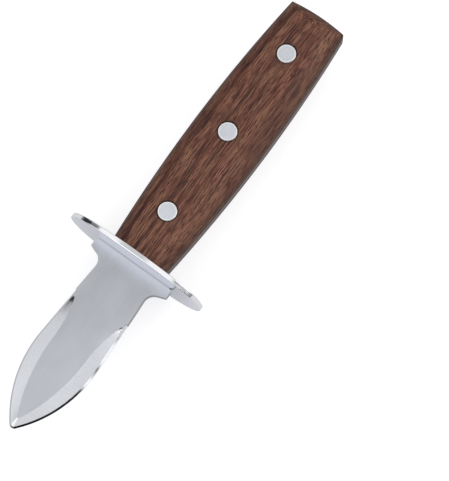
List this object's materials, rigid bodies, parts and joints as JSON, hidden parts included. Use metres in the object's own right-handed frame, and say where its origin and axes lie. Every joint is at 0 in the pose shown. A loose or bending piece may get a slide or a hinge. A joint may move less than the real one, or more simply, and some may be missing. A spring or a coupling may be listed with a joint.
{
  "type": "oyster knife",
  "caption": "Oyster knife with a stout spear-shaped blade ground along both edges, an oval hand guard, and a riveted wooden handle on a full tang.",
  "frame": {"origin": "centre of the knife's bounding box: half the overall length, on the centre plane of the blade", "axes": "+X along the guard, +Y from the blade's tip to the butt, +Z square to the flat of the blade, towards the side with the rivet studs"},
  "size_m": [0.0528, 0.1708, 0.033],
  "materials": {
    "blade_steel": "satin ground stainless steel, bevels finely ground",
    "guard_steel": "polished stainless steel",
    "handle_wood": "dark reddish-brown open-grained wood, sanded and lightly oiled",
    "rivet_metal": "pale satin metal with a bright eased rim"
  },
  "bodies": {
    "root": {"blade": "blade_steel", "guard": "guard_steel", "front_scale": "handle_wood", "back_scale": "handle_wood", "rivet_stud_guard_end": "rivet_metal", "rivet_stud_middle": "rivet_metal", "rivet_stud_butt_end": "rivet_metal", "rivet_sleeve_guard_end": "rivet_metal", "rivet_sleeve_middle": "rivet_metal", "rivet_sleeve_butt_end": "rivet_metal"}
  },
  "joints": []
}
